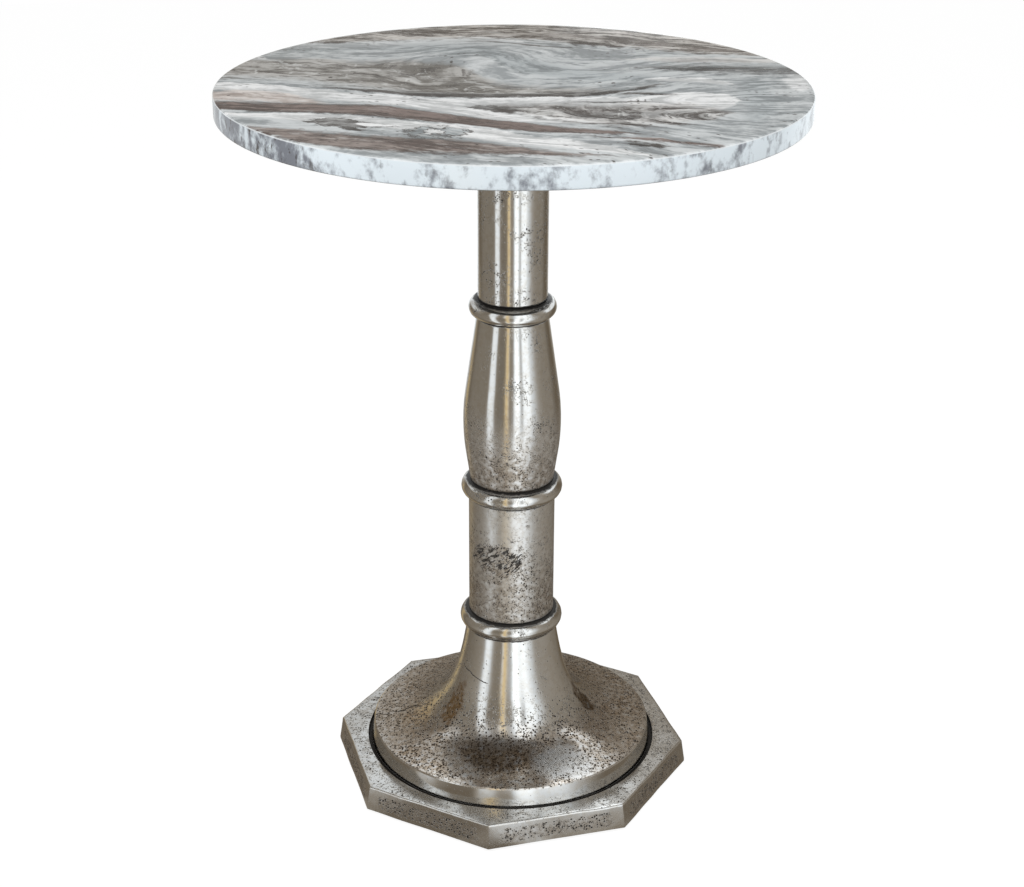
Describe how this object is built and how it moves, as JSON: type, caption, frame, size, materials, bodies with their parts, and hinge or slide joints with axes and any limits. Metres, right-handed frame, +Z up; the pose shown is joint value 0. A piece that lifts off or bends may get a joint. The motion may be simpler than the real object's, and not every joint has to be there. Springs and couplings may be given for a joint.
{
  "type": "side table",
  "caption": "Round marble-topped side table on a turned cast pedestal with bead rings, a bell foot and an octagonal plinth on levelling glides.",
  "frame": {"origin": "on the floor under the centre of the pedestal, with the glides screwed fully in", "axes": "+Z up along the pedestal; the plinth's flats face X, Y and the diagonals between them"},
  "size_m": [0.5079, 0.508, 0.6625],
  "materials": {
    "marble": "polished, with flowing grey and brown bands",
    "antique_nickel": "cast and burnished, with dark patina in pits and crevices",
    "fixing_steel": "zinc plated",
    "brass": "turned",
    "rubber": "matt",
    "nylon": "moulded, matt"
  },
  "bodies": {
    "table": {"marble_top": "marble", "stone_inserts": "brass", "stone_cushions": "rubber", "top_plate": "antique_nickel", "top_screws": "fixing_steel", "top_screw_washers": "fixing_steel", "upper_column": "antique_nickel", "upper_bead": "antique_nickel", "vase_section": "antique_nickel", "middle_bead": "antique_nickel", "lower_column": "antique_nickel", "lower_bead": "antique_nickel", "bell_foot": "antique_nickel", "plinth": "antique_nickel", "tie_rod": "fixing_steel", "rod_top_nut": "fixing_steel", "rod_top_washer": "fixing_steel", "rod_bottom_nut": "fixing_steel", "rod_bottom_washer": "fixing_steel", "glide_inserts": "brass"},
    "glide_1": {"glide_stud_1": "fixing_steel", "glide_pad_1": "nylon"},
    "glide_2": {"glide_stud_2": "fixing_steel", "glide_pad_2": "nylon"},
    "glide_3": {"glide_stud_3": "fixing_steel", "glide_pad_3": "nylon"},
    "glide_4": {"glide_stud_4": "fixing_steel", "glide_pad_4": "nylon"}
  },
  "joints": [
    {"name": "glide_1_level", "type": "slide", "parent": "table", "child": "glide_1", "axis": [0, 0, -1], "range_m": [0, 0.006]},
    {"name": "glide_2_level", "type": "slide", "parent": "table", "child": "glide_2", "axis": [0, 0, -1], "range_m": [0, 0.006]},
    {"name": "glide_3_level", "type": "slide", "parent": "table", "child": "glide_3", "axis": [0, 0, -1], "range_m": [0, 0.006]},
    {"name": "glide_4_level", "type": "slide", "parent": "table", "child": "glide_4", "axis": [0, 0, -1], "range_m": [0, 0.006]}
  ]
}
